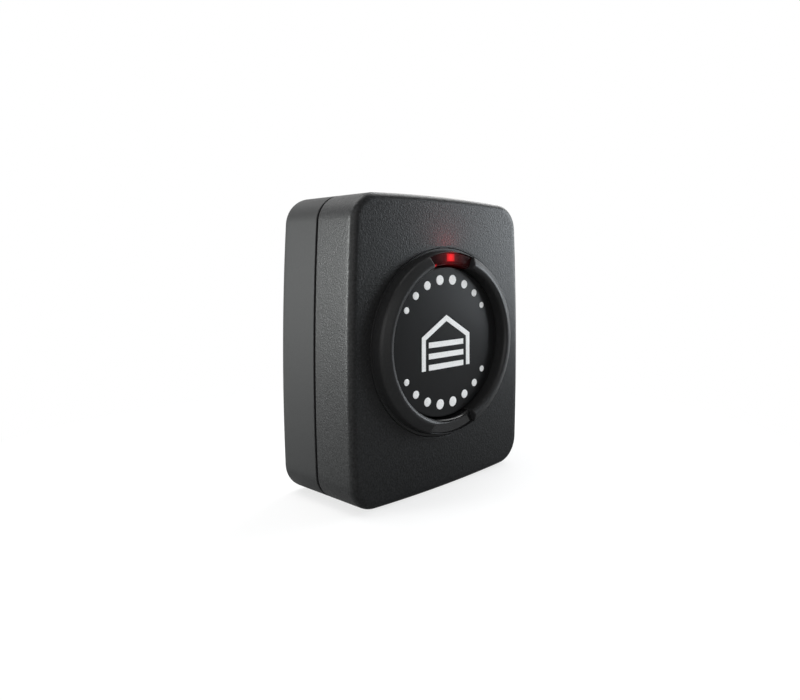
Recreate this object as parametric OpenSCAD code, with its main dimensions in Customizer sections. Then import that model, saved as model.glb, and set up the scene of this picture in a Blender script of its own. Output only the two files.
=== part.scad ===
// Battery door sensor: a two-part case with a ringed push button, a light and a tilt switch.
// Each piece is drawn lying on its back: x to the right, y up the door, z from the back face forward.
// stand() then turns it upright, so that the front looks along -Y and the back face lies at Y = 0.

/* [Case] */
// Width across the bowed sides
case_w = 45.2; // [44:0.1:60]
// Height across the bowed ends
case_h = 57; // [56:0.1:72]
// Depth from the back face to the front face
case_d = 22; // [21.5:0.1:32]
// Corner radius of the outline
corner_r = 5.4; // [4.5:0.1:8]
// How far the long sides bow outwards
side_bow = 0.58; // [0.2:0.01:1.2]
// How far the top and bottom bow outwards
end_bow = 0.42; // [0.2:0.01:1]
// Rounding of the front edge
front_edge_r = 1.3; // [0.6:0.1:1.8]
// Rounding of the back edge
back_edge_r = 1.5; // [0.6:0.1:1.7]
// Middle of the split line, above the back face
split_z = 11.4; // [8:0.1:12.5]
// Shadow gap at the split line
split_gap = 0.5; // [0.2:0.05:1]

/* [Walls] */
// Side wall of both covers
wall = 2.2; // [1.8:0.1:2.5]
// Front face of the front cover
face_t = 2.2; // [1.6:0.1:2.6]
// Back wall of the rear cover
back_t = 1.8; // [1.2:0.1:2.6]
// Thickness of the rear cover's tongue
tongue_t = 1; // [0.7:0.05:1.2]
// How far the tongue reaches into the front cover
tongue_l = 3.7; // [2:0.1:4.5]
// Clearance round the tongue
tongue_gap = 0.1; // [0.05:0.01:0.2]

/* [Guard ring] */
// Width of the front face beside the ring
ring_side = 4.25; // [4.1:0.05:6]
// Width of the ring, from its bore to the front face
ring_w = 3.3; // [3:0.05:3.8]
// Parting gap between the ring and the front face
ring_gap = 0.08; // [0.05:0.01:0.3]
// Width of the flush ledge at the ring's foot
ring_ledge = 0.45; // [0.3:0.05:0.6]
// Width of the ring's outer slope
ring_slope = 1.9; // [1.2:0.05:2]
// Height of the crest above the front face
crest_h = 2.8; // [2:0.05:3]
// Rounding of the crest's inner edge
crest_in_round = 0.5; // [0.2:0.05:0.8]
// Width of the flange behind the front face
flange_w = 1.45; // [1:0.05:1.6]
// Thickness of that flange
flange_t = 1.2; // [0.8:0.1:1.4]

/* [Windows] */
// Half angle of each notch in the ring
notch_half_angle = 20; // [14:0.5:24]
// Width of the lip that is left outside each notch
notch_lip = 0.85; // [0.7:0.05:1.1]
// Clearance round each window in its notch
window_gap = 0.05; // [0.03:0.01:0.1]
// Height of the window's face above the front face
window_h = 1.4; // [0.8:0.05:1.6]
// Bevel along the window's inner edge
window_bevel = 0.45; // [0.2:0.05:0.6]
// Thickness of the window's flange behind the ring
window_flange_t = 0.8; // [0.5:0.1:1]
// How far that flange reaches past the notch
window_flange_w = 0.9; // [0.5:0.1:1.2]

/* [Light] */
// Width of the light pipe's tip
pipe_w = 2.05; // [1.4:0.05:2.6]
// Height of the light pipe's tip
pipe_h = 1.5; // [1:0.05:1.5]
// Distance of the light pipe's tip from the outside of the window
pipe_inset = 0.2; // [0.15:0.05:0.5]
// How far the pipe's foot is wider than its tip, each way
pipe_foot = 0.5; // [0.3:0.05:0.7]
// Height of the light source on the board
led_t = 0.8; // [0.5:0.1:1.2]

/* [Button] */
// Gap between the button and the ring's bore
button_gap = 0.4; // [0.3:0.05:0.6]
// Height of the button's face above the front face
button_proud = 0.16; // [0:0.02:0.4]
// Thickness of the button's face plate
button_t = 1.8; // [1.2:0.1:2.2]
// Wall of the button's skirt
skirt_t = 1.4; // [1:0.1:2]
// Rounding of the button's edge
button_edge = 0.25; // [0.1:0.05:0.5]
// Reach of the stop lugs past the button
lug_w = 2.3; // [1.5:0.1:2.8]
// Thickness of the stop lugs
lug_t = 1.3; // [1:0.1:1.6]
// Half angle of each stop lug
lug_half_angle = 30; // [15:1:40]
// Rest gap between a lug and the ring, and between the post and the plunger
rest_gap = 0.05; // [0.03:0.01:0.1]
// Travel of the button
button_travel = 0.5; // [0.3:0.05:0.6]
// Radius of the post that presses the switch
post_r = 1.6; // [1.2:0.1:2]

/* [Print] */
// Distance of the dots from the button's edge
dot_inset = 2.45; // [1.5:0.05:3]
// Angle between neighbouring dots
dot_pitch_angle = 16.3; // [14:0.1:17]
// Diameters of the dots, from the middle of an arc outwards
dot_d = [1.95, 1.7, 1.5, 1.25];
// Width of the printed door mark
icon_w = 13; // [9:0.5:15]
// Height of the printed door mark
icon_h = 10.4; // [8:0.2:12]
// Stroke of the printed door mark
icon_line = 1; // [0.6:0.1:1.2]
// Height of the mark's eaves above its middle
icon_eave = 1.25; // [0.5:0.05:2]
// Number of door slats in the mark
icon_slats = 3; // [2:1:4]
// Gap between the slats and the frame of the mark
icon_gap = 0.8; // [0.4:0.1:1.2]
// Thickness of the ink
ink_t = 0.05; // [0.03:0.01:0.1]

/* [Board] */
// Depth of the board's front side below the front face
board_depth = 8.5; // [8.4:0.1:9]
// Thickness of the board
board_t = 1.6; // [1:0.1:1.7]
// Gap between the board's edge and the walls
board_gap = 0.6; // [0.3:0.1:1]
// Distance of the board screws from the sides
screw_side = 6.8; // [6.5:0.1:7.2]
// Distance of the board screws from the top and bottom
screw_end = 6.7; // [6.4:0.1:7]
// Radius of the screw shank
screw_r = 0.8; // [0.6:0.05:1]
// Radius of the screw head
screw_head_r = 1.5; // [1.3:0.1:1.7]
// Height of the screw head
screw_head_t = 1.1; // [0.8:0.1:1.4]
// Length of the screw below its head
screw_l = 6; // [4:0.5:6.5]
// Length of the cross recess in the screw head
recess_l = 2.1; // [1.6:0.1:2.4]
// Width of that recess
recess_w = 0.45; // [0.3:0.05:0.6]
// Radius of the bosses in the front cover
boss_r = 2.2; // [1.9:0.1:2.4]
// Clearance of the screws in the bosses
screw_gap = 0.05; // [0.03:0.01:0.1]
// Clearance of the screws in the board
board_hole_gap = 0.15; // [0.1:0.05:0.3]

/* [Battery] */
// Radius of the coin cell
cell_r = 12.25; // [10:0.05:12.25]
// Thickness of the coin cell
cell_t = 5; // [3:0.1:5]
// Width of the step round the cell's front cap
cap_step = 1; // [0.6:0.1:1.6]
// Height of that cap
cap_t = 0.6; // [0.3:0.1:0.9]
// Middle of the cell below the middle of the case
cell_drop = 5.5; // [4:0.1:6.5]
// Gap between the cell and its holder
cell_gap = 0.25; // [0.1:0.05:0.4]
// Wall of the holder
holder_wall = 1.1; // [0.8:0.1:1.4]
// Base of the holder
holder_base = 0.8; // [0.6:0.1:1]
// Height of the holder's wall above its base
holder_h = 4; // [2:0.1:4.2]
// Half angle of the finger opening in the holder
finger_half_angle = 32; // [20:1:40]
// Height of the lip that is left under the finger opening
finger_lip = 0.6; // [0.3:0.1:1]
// Thickness of the sheet metal contacts
contact_t = 0.4; // [0.3:0.05:0.5]
// Width of the sheet metal contacts
contact_w = 5; // [3:0.5:6]
// Length of the clip's feet on the board
clip_foot = 2; // [1:0.1:2.5]
// Gap between the clip's legs and the holder
clip_gap = 0.2; // [0.1:0.05:0.5]

/* [Switch] */
// Side of the square switch body
switch_w = 6.2; // [5:0.1:7]
// Height of the switch body
switch_h = 3.3; // [3:0.1:3.4]
// Radius of the plunger
plunger_r = 1.75; // [1.2:0.05:2]
// Running clearance of the plunger
plunger_gap = 0.05; // [0.03:0.01:0.1]
// Height of the plunger above the switch body
plunger_h = 0.9; // [0.7:0.05:1]
// Depth of the plunger inside the switch body
plunger_in = 2; // [1.2:0.1:2.2]

/* [Tilt switch] */
// Outer radius of the cup
tilt_r = 2.2; // [2:0.05:2.3]
// Length of the cup
tilt_l = 6; // [5.5:0.1:6.4]
// Wall of the cup
tilt_wall = 0.45; // [0.3:0.05:0.5]
// Thickness of the end piece
header_t = 0.8; // [0.6:0.1:1]
// Depth of the end piece's plug inside the cup
plug_t = 0.5; // [0.3:0.1:0.7]
// Radius of the ball
ball_r = 1.5; // [1.2:0.05:1.5]
// Clearance at the ball's ends and round the end piece's plug
tilt_gap = 0.05; // [0.03:0.01:0.1]
// Slope of the cup
tilt_slope = 45; // [40:1:50]
// Radius of the pins
pin_r = 0.3; // [0.2:0.05:0.35]
// Distance between the pins
pin_pitch = 1.8; // [1.4:0.1:2]
// Distance of the cup's middle from the left side of the case
tilt_side = 13.6; // [12:0.1:14]
// Distance of the cup's middle from the top of the case
tilt_end = 12; // [10:0.1:13]
// Gap between the end piece and the board
tilt_board_gap = 0.2; // [0.1:0.05:0.4]
// Clearance between the cup and its cradle
cradle_gap = 0.05; // [0.03:0.01:0.1]
// Wall of the cradle beside the cup
cradle_wall = 0.9; // [0.6:0.1:1.2]

/* [Radio] */
// Outer size of the shield can
shield_size = [13, 9, 2.4];
// Distance of the shield can's middle from the right side of the case
radio_side = 15.6; // [14.8:0.1:16]
// Distance of the shield can's middle from the top of the case
radio_end = 12.4; // [11:0.1:13]
// Sheet of the shield can
shield_t = 0.25; // [0.15:0.05:0.4]
// Size of the radio chip
chip_size = [6, 6, 0.9];
// Size of the crystal
crystal_size = [2.5, 2, 0.6];
// Length of the antenna strip
antenna_l = 20; // [14:0.5:22]
// Height of the antenna strip above the board
antenna_h = 3; // [2:0.1:4]
// Thickness of the antenna strip
antenna_t = 0.5; // [0.3:0.05:0.6]
// Distance of the antenna from the top of the case
antenna_end = 5; // [4.6:0.1:5]
// Size of one small chip part
passive_size = [1.6, 0.8, 0.8];
// Distance between neighbouring chip parts
passive_pitch = 1.7; // [1.4:0.1:2]
// Distance of the chip parts from the middle of the board
passive_x = 8; // [6:0.1:9]
// Distance of the lowest chip part below the middle of the board
passive_drop = 9.5; // [8:0.1:11]
// Radius of the bulk capacitor
bulk_r = 2.5; // [2:0.1:2.7]
// Height of the bulk capacitor
bulk_h = 5.4; // [4:0.1:6]
// Distance of the bulk capacitor from the left side of the case
bulk_side = 6.8; // [6:0.1:7]
// Height of the bulk capacitor above the middle of the board
bulk_rise = 10; // [8:0.1:11]

/* [Hidden] */
$fn = 64;
// Steps along each bowed side, each corner and each edge rounding
side_n = 6;
corner_n = 8;
edge_n = 5;
// How far a cut runs past a face
over = 0.5;

// Radii of the circles that carry the bowed sides, and how far their centres lie past the middle
side_R = (pow(case_h / 2 - corner_r, 2) + pow(side_bow, 2)) / (2 * side_bow);
end_R = (pow(case_w / 2 - corner_r, 2) + pow(end_bow, 2)) / (2 * end_bow);
side_c = side_R - case_w / 2;
end_c = end_R - case_h / 2;
// Corner centre: the point that lies a corner radius inside both of those circles
span = norm([side_c, end_c]);
along = (pow(side_R - corner_r, 2) - pow(end_R - corner_r, 2) + span * span) / (2 * span);
across = sqrt(pow(side_R - corner_r, 2) - along * along);
corner_x = (along * side_c + across * end_c) / span - side_c;
corner_y = (across * side_c - along * end_c) / span;
side_a = atan2(corner_y, corner_x + side_c);
end_a = atan2(corner_x, corner_y + end_c);

// Levels from the back face forward
rear_rim_z = split_z - split_gap / 2;
front_rim_z = split_z + split_gap / 2;
tongue_z = rear_rim_z + tongue_l;
inner_face_z = case_d - face_t;
ring_rear_z = inner_face_z - flange_t;
crest_z = case_d + crest_h;
board_front_z = case_d - board_depth;
board_rear_z = board_front_z - board_t;
switch_top_z = board_front_z + switch_h;
plunger_top_z = switch_top_z + plunger_h;
plunger_low_z = switch_top_z - plunger_in;
lug_top_z = ring_rear_z - rest_gap;
lug_low_z = lug_top_z - lug_t;
button_face_z = case_d + button_proud;
button_under_z = button_face_z - button_t;
window_flange_z = ring_rear_z - window_flange_t;
window_face_z = case_d + window_h;
base_z = board_rear_z - holder_base;
cell_front_z = base_z - contact_t;
cell_back_z = cell_front_z - cell_t;

// Radii that follow from the case and from each fit
ring_body_r = case_w / 2 - ring_side;
ring_bore_r = ring_body_r - ring_w;
ring_foot_r = ring_body_r - ring_ledge;
crest_out_r = ring_foot_r - ring_slope;
notch_out_r = ring_body_r - notch_lip;
button_r = ring_bore_r - button_gap;
flange_r = ring_body_r + flange_w;
window_in_r = ring_bore_r + window_gap;
window_out_r = notch_out_r - window_gap;
window_flange_r = notch_out_r + window_flange_w;
pipe_r = window_out_r - pipe_inset - pipe_h / 2;
dot_circle_r = button_r - dot_inset;
holder_in_r = cell_r + cell_gap;
holder_out_r = holder_in_r + holder_wall;

// Places on the board
screw_x = case_w / 2 - screw_side;
screw_y = case_h / 2 - screw_end;
clip_x = holder_out_r + clip_gap;
radio_at = [case_w / 2 - radio_side, case_h / 2 - radio_end];
chip_at = radio_at - [(shield_size.x - chip_size.x) / 4, 0];
crystal_at = radio_at + [(shield_size.x - crystal_size.x) / 3, 0];
antenna_at = [radio_at.x - antenna_l / 4, case_h / 2 - antenna_end];
bulk_at = [bulk_side - case_w / 2, bulk_rise];
passive_count = 4;

// Axis of the tilt switch: its middle, and the angle from the board's normal
tilt_reach = (tilt_l / 2 + header_t) * sin(tilt_slope) + tilt_r * cos(tilt_slope);
tilt_at = [tilt_side - case_w / 2, case_h / 2 - tilt_end, board_rear_z - tilt_board_gap - tilt_reach];
tilt_bore_r = tilt_r - tilt_wall;
cup_floor = -tilt_l / 2 + tilt_wall;
ball_rest = cup_floor + tilt_gap + ball_r;
header_mid = tilt_l / 2 + header_t / 2;
pin_y = tilt_at.y + header_mid * cos(tilt_slope);
pin_z = tilt_at.z + header_mid * sin(tilt_slope);

// Points along an arc about c, without its last one
function arc(c, r, from, to, n) =
    [for (i = [0:n - 1]) let (a = from + (to - from) * i / n) c + r * [cos(a), sin(a)]];

// Case outline, moved inwards by inset: eight arcs that meet smoothly
function outline(inset) = concat(
    arc([-side_c, 0], side_R - inset, -side_a, side_a, side_n),
    arc([corner_x, corner_y], corner_r - inset, side_a, 90 - end_a, corner_n),
    arc([0, -end_c], end_R - inset, 90 - end_a, 90 + end_a, side_n),
    arc([-corner_x, corner_y], corner_r - inset, 90 + end_a, 180 - side_a, corner_n),
    arc([side_c, 0], side_R - inset, 180 - side_a, 180 + side_a, side_n),
    arc([-corner_x, -corner_y], corner_r - inset, 180 + side_a, 270 - end_a, corner_n),
    arc([0, end_c], end_R - inset, 270 - end_a, 270 + end_a, side_n),
    arc([corner_x, -corner_y], corner_r - inset, 270 + end_a, 360 - side_a, corner_n)
);

// Ring section: flange, body, outer slope, crest and rounded inner edge
function ring_section() = concat(
    [[ring_bore_r, ring_rear_z], [flange_r, ring_rear_z], [flange_r, inner_face_z]],
    [[ring_body_r, inner_face_z], [ring_body_r, case_d]],
    [for (i = [0:8]) let (a = 90 * i / 8)
        [crest_out_r + (ring_foot_r - crest_out_r) * cos(a), case_d + crest_h * sin(a)]],
    [for (i = [0:5]) let (a = 90 + 90 * i / 5)
        [ring_bore_r + crest_in_round * (1 + cos(a)), crest_z - crest_in_round * (1 - sin(a))]]
);

module stand() rotate([90, 0, 0]) children();

// Puts a shape at the four board screws
module at_screws() {
    for (sx = [-1, 1], sy = [-1, 1])
        translate([sx * screw_x, sy * screw_y, 0]) children();
}

// Straight-sided slab with the case outline
module slab(inset, z0, z1) {
    translate([0, 0, z0]) linear_extrude(z1 - z0) polygon(outline(inset));
}

// Solid half of the case, from its rounded outer edge at z_edge to its rim: outlines stacked in levels
module half_form(z_edge, z_rim, edge_r) {
    inward = sign(z_rim - z_edge);
    rounding = [for (i = [0:edge_n]) let (a = 90 * i / edge_n)
        [edge_r * (1 - sin(a)), z_edge + inward * edge_r * (1 - cos(a))]];
    levels = inward > 0
        ? concat(rounding, [[0, z_rim]])
        : concat([[0, z_rim]], [for (i = [edge_n:-1:0]) rounding[i]]);
    n = len(outline(0));
    top = (len(levels) - 1) * n;
    points = [for (level = levels, p = outline(level[0])) [p.x, p.y, level[1]]];
    sides = [for (k = [0:len(levels) - 2], j = [0:n - 1])
        let (a = k * n + j, b = k * n + (j + 1) % n) [a, a + n, b + n, b]];
    polyhedron(points, concat([[for (j = [0:n - 1]) j]], sides, [[for (j = [n - 1:-1:0]) top + j]]));
}

// Ring sector about the vertical through the centre: up, or down where below is true
module sector(half, section, below = false) {
    rotate([0, 0, (below ? 270 : 90) - half]) rotate_extrude(angle = 2 * half) polygon(section);
}

// Flat block that is centred on a place and stands between two levels
module block(at, size, z0, z1) {
    translate([at.x - size.x / 2, at.y - size.y / 2, z0]) cube([size.x, size.y, z1 - z0]);
}

// Turns the z axis onto the tilt switch's axis
module on_tilt_axis() translate(tilt_at) rotate([tilt_slope - 90, 0, 0]) children();

module front_cover() {
    color("#333436") stand() difference() {
        union() {
            difference() {
                half_form(case_d, front_rim_z, front_edge_r);
                slab(wall - tongue_t - tongue_gap, front_rim_z - over, tongue_z + tongue_gap);
                slab(wall, front_rim_z - over, inner_face_z);
            }
            at_screws() translate([0, 0, board_front_z])
                cylinder(r = boss_r, h = inner_face_z - board_front_z + over);
        }
        translate([0, 0, inner_face_z - over]) cylinder(r = ring_body_r + ring_gap, h = face_t + 2 * over);
        at_screws() translate([0, 0, board_front_z - over])
            cylinder(r = screw_r + screw_gap, h = screw_l - board_t + 2 * over);
    }
}

module rear_cover() {
    color("#4a4b4d") stand() {
        difference() {
            half_form(0, rear_rim_z, back_edge_r);
            slab(wall, back_t, rear_rim_z + over);
        }
        difference() {
            slab(wall - tongue_t, rear_rim_z - over, tongue_z);
            slab(wall, rear_rim_z - 2 * over, tongue_z + over);
        }
    }
}

module guard_ring() {
    notch = [[ring_bore_r - over, ring_rear_z - over], [notch_out_r, ring_rear_z - over],
        [notch_out_r, crest_z + over], [ring_bore_r - over, crest_z + over]];
    color("#2c2d2f") stand() difference() {
        rotate_extrude() polygon(ring_section());
        sector(notch_half_angle, notch);
        sector(notch_half_angle, notch, below = true);
    }
}

module button_disc() {
    section = concat(
        [[0, button_under_z], [button_r - skirt_t, button_under_z], [button_r - skirt_t, lug_low_z]],
        [[button_r, lug_low_z]],
        arc([button_r - button_edge, button_face_z - button_edge], button_edge, 0, 90, 4),
        [[button_r - button_edge, button_face_z], [0, button_face_z]]
    );
    lug = [[button_r - skirt_t / 2, lug_low_z], [button_r + lug_w, lug_low_z],
        [button_r + lug_w, lug_top_z], [button_r - skirt_t / 2, lug_top_z]];
    color("#303133") stand() {
        rotate_extrude() polygon(section);
        for (side = [90, -90]) rotate([0, 0, side]) sector(lug_half_angle, lug);
        translate([0, 0, plunger_top_z + rest_gap])
            cylinder(r = post_r, h = button_under_z - plunger_top_z - rest_gap + over);
    }
}

module printed_dots() {
    last = 2 * len(dot_d) - 1;
    color("white") stand() for (turn = [0, 180], i = [0:last]) {
        from_middle = i - last / 2;
        rotate([0, 0, turn + from_middle * dot_pitch_angle]) translate([0, dot_circle_r, button_face_z])
            cylinder(d = dot_d[floor(abs(from_middle))], h = ink_t, $fn = 32);
    }
}

// Plain picture of a garage: a gabled frame round its door slats
module door_icon() {
    half = icon_w / 2;
    low = -icon_h / 2;
    rise = icon_h / 2 - icon_eave;
    in_half = half - icon_line;
    drop = icon_line * norm([half, rise]) / half;
    in_eave = icon_eave - drop + rise * icon_line / half;
    slat = (icon_eave - low) / (2 * icon_slats);
    color("white") stand() translate([0, 0, button_face_z]) linear_extrude(ink_t) {
        difference() {
            polygon([[-half, low], [half, low], [half, icon_eave], [0, icon_h / 2], [-half, icon_eave]]);
            polygon([[-in_half, low - over], [in_half, low - over], [in_half, in_eave],
                [0, icon_h / 2 - drop], [-in_half, in_eave]]);
        }
        for (i = [0:icon_slats - 1])
            translate([icon_gap - in_half, low + 2 * i * slat]) square([2 * (in_half - icon_gap), slat]);
    }
}

// Window in a notch of the ring, with its flange behind the ring
module window_form(below) {
    face = [[window_in_r, window_flange_z], [window_out_r, window_flange_z], [window_out_r, window_face_z],
        [window_in_r + window_bevel, window_face_z], [window_in_r, window_face_z - window_bevel]];
    flange = [[window_in_r, window_flange_z], [window_flange_r, window_flange_z],
        [window_flange_r, ring_rear_z], [window_in_r, ring_rear_z]];
    side_gap = window_gap / window_in_r * 180 / PI;
    flange_half = notch_half_angle + window_flange_w / window_in_r * 180 / PI;
    sector(notch_half_angle - side_gap, face, below);
    sector(flange_half, flange, below);
}

module upper_window() {
    color("#101113") stand() difference() {
        window_form(below = false);
        block([0, pipe_r], [pipe_w + 2 * window_gap, pipe_h + 2 * window_gap],
            window_flange_z - over, crest_z + over);
    }
}

module lower_window() color("#101113") stand() window_form(below = true);

module light_pipe() {
    foot_low = board_front_z + led_t + rest_gap;
    color("#e02428") stand() {
        block([0, pipe_r], [pipe_w, pipe_h], foot_low, window_face_z);
        block([0, pipe_r], [pipe_w + 2 * pipe_foot, pipe_h + 2 * pipe_foot], foot_low,
            window_flange_z - rest_gap);
    }
}

module circuit_board() {
    color("#1f5a35") stand() difference() {
        slab(wall + board_gap, board_rear_z, board_front_z);
        at_screws() translate([0, 0, board_rear_z - over])
            cylinder(r = screw_r + board_hole_gap, h = board_t + 2 * over);
        at_pins() translate([0, 0, board_rear_z - over])
            cylinder(r = pin_r + tilt_gap, h = board_t + 2 * over);
    }
}

module board_screws() {
    color("silver") stand() at_screws() difference() {
        union() {
            translate([0, 0, board_rear_z - screw_head_t]) cylinder(r = screw_head_r, h = screw_head_t);
            translate([0, 0, board_rear_z - over]) cylinder(r = screw_r, h = screw_l + over);
        }
        for (turn = [0, 90]) rotate([0, 0, turn])
            block([0, 0], [recess_l, recess_w], board_rear_z - screw_head_t - over,
                board_rear_z - screw_head_t / 2);
    }
}

// Puts a shape on the axis of the coin cell
module at_cell() translate([0, -cell_drop, 0]) children();

module battery_holder() {
    low = base_z - holder_h - over;
    lip = base_z - finger_lip;
    opening = [[holder_in_r - over, low], [holder_out_r + over, low],
        [holder_out_r + over, lip], [holder_in_r - over, lip]];
    color("#1b1b1b") stand() at_cell() difference() {
        translate([0, 0, base_z - holder_h]) cylinder(r = holder_out_r, h = holder_h + holder_base);
        translate([0, 0, base_z - holder_h - over]) cylinder(r = holder_in_r, h = holder_h + over);
        sector(finger_half_angle, opening, below = true);
        block([0, 0], [contact_w, contact_w], base_z - over, board_rear_z + over);
    }
}

module coin_cell() {
    cap_r = cell_r - cap_step;
    section = [[0, cell_back_z], [cell_r - cap_t / 2, cell_back_z], [cell_r, cell_back_z + cap_t / 2],
        [cell_r, cell_front_z - cap_t], [cap_r, cell_front_z - cap_t], [cap_r, cell_front_z],
        [0, cell_front_z]];
    color("#c9ccd0") stand() at_cell() rotate_extrude() polygon(section);
}

module positive_clip() {
    color("#b9a878") stand() at_cell() {
        block([0, 0], [2 * (clip_x + contact_t), contact_w], cell_back_z - contact_t, cell_back_z);
        for (side = [-1, 1]) {
            block([side * (clip_x + contact_t / 2), 0], [contact_t, contact_w],
                cell_back_z - contact_t, board_rear_z);
            block([side * (clip_x + clip_foot / 2), 0], [clip_foot, contact_w],
                board_rear_z - contact_t, board_rear_z);
        }
    }
}

module negative_contact() {
    color("#b9a878") stand() at_cell() {
        block([0, 0], [cell_r, contact_w - 2 * cell_gap], cell_front_z, base_z);
        block([0, 0], [contact_w - 2 * cell_gap, contact_w - 2 * cell_gap], cell_front_z, board_rear_z);
    }
}

module tact_switch_body() {
    color("#232323") stand() difference() {
        block([0, 0], [switch_w, switch_w], board_front_z, switch_top_z);
        translate([0, 0, plunger_low_z - button_travel - 2 * rest_gap])
            cylinder(r = plunger_r + plunger_gap, h = switch_h);
    }
}

module tact_plunger() {
    color("#8c8c88") stand() translate([0, 0, plunger_low_z])
        cylinder(r = plunger_r, h = plunger_top_z - plunger_low_z);
}

module switch_terminals() {
    leg = [1, 0.7, 0.2];
    color("silver") stand() for (sx = [-1, 1], sy = [-1, 1])
        block([sx * (switch_w + leg.x) / 2, sy * switch_w / 3], leg,
            board_front_z, board_front_z + leg.z);
}

module led() {
    color("#f4f0e0") stand() {
        block([0, pipe_r], [pipe_w, pipe_h], board_front_z, board_front_z + led_t / 2);
        block([0, pipe_r], [pipe_w - led_t / 2, pipe_h], board_front_z + led_t / 4, board_front_z + led_t);
    }
}

module tilt_can() {
    color("#c4a24a") stand() on_tilt_axis() difference() {
        translate([0, 0, -tilt_l / 2]) cylinder(r = tilt_r, h = tilt_l);
        translate([0, 0, cup_floor]) cylinder(r = tilt_bore_r, h = tilt_l);
    }
}

// Puts a shape at the two pins of the tilt switch
module at_pins() {
    for (side = [-1, 1])
        translate([tilt_at.x + side * pin_pitch / 2, pin_y, 0]) children();
}

module tilt_header() {
    color("#2a2a2a") stand() difference() {
        on_tilt_axis() {
            translate([0, 0, tilt_l / 2]) cylinder(r = tilt_r, h = header_t);
            translate([0, 0, tilt_l / 2 - plug_t])
                cylinder(r = tilt_bore_r - tilt_gap, h = plug_t + header_t / 2);
        }
        at_pins() translate([0, 0, pin_z]) cylinder(r = pin_r + tilt_gap, h = board_t + tilt_l);
    }
}

module tilt_pins() {
    color("silver") stand() at_pins() translate([0, 0, pin_z])
        cylinder(r = pin_r, h = board_front_z + over - pin_z);
}

module tilt_ball() color("#d8d8dc") stand() on_tilt_axis() translate([0, 0, ball_rest]) sphere(r = ball_r);

module tilt_cradle() {
    half_w = tilt_r + cradle_gap + cradle_wall;
    reach = tilt_l / 2 + tilt_r;
    color("#2a2a2a") stand() difference() {
        block(tilt_at, [2 * half_w, 2 * reach * cos(tilt_slope)], tilt_at.z, board_rear_z);
        on_tilt_axis() {
            translate([0, 0, -2 * reach]) cylinder(r = tilt_r + cradle_gap, h = 4 * reach);
            translate([-2 * half_w, 0, -2 * reach]) cube([4 * half_w, 2 * reach, 4 * reach]);
        }
    }
}

module radio_chip() {
    color("#202020") stand() block(chip_at, chip_size, board_rear_z - chip_size.z, board_rear_z);
}

module shield_can() {
    low = board_rear_z - shield_size.z;
    inside = shield_size - [2 * shield_t, 2 * shield_t, 0];
    color("#c8cacc") stand() difference() {
        block(radio_at, shield_size, low, board_rear_z);
        block(radio_at, inside, low + shield_t, board_rear_z + over);
    }
}

module crystal() {
    color("#d0d0d0") stand() block(crystal_at, crystal_size, board_rear_z - crystal_size.z, board_rear_z);
}

module antenna() {
    foot = 2;
    color("#c9b070") stand() {
        block(antenna_at, [antenna_l, antenna_t], board_rear_z - antenna_h, board_rear_z - antenna_h / 2);
        for (x = [-antenna_l / 2 + foot / 2, foot])
            block(antenna_at + [x, 0], [foot, antenna_t], board_rear_z - antenna_h, board_rear_z);
    }
}

// Column of small chip parts on the front of the board, at x
module passive_column(x) {
    for (i = [0:passive_count - 1])
        block([x, i * passive_pitch - passive_drop], passive_size,
            board_front_z, board_front_z + passive_size.z);
}

module chip_capacitors() color("#b08d62") stand() passive_column(-passive_x);

module chip_resistors() color("#1c1c1e") stand() passive_column(passive_x);

module bulk_capacitor() {
    foot_t = 0.8;
    color("#3a3f46") stand() {
        block(bulk_at, [2 * bulk_r, 2 * bulk_r], board_rear_z - foot_t, board_rear_z);
        translate([bulk_at.x, bulk_at.y, board_rear_z - bulk_h])
            cylinder(r = bulk_r, h = bulk_h - foot_t / 2);
    }
}

front_cover();
rear_cover();
guard_ring();
button_disc();
printed_dots();
door_icon();
upper_window();
lower_window();
light_pipe();
circuit_board();
board_screws();
battery_holder();
coin_cell();
positive_clip();
negative_contact();
tact_switch_body();
tact_plunger();
switch_terminals();
led();
tilt_can();
tilt_header();
tilt_pins();
tilt_ball();
tilt_cradle();
radio_chip();
shield_can();
crystal();
antenna();
chip_capacitors();
chip_resistors();
bulk_capacitor();
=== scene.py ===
"""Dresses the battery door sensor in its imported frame: case, guard ring, button, windows and inner parts."""

import logging
import math
from dataclasses import dataclass, field
from enum import Enum
from typing import NamedTuple

import bmesh
import bpy
import numpy as np
from mathutils import Matrix, Vector
from numpy.typing import ArrayLike


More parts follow.
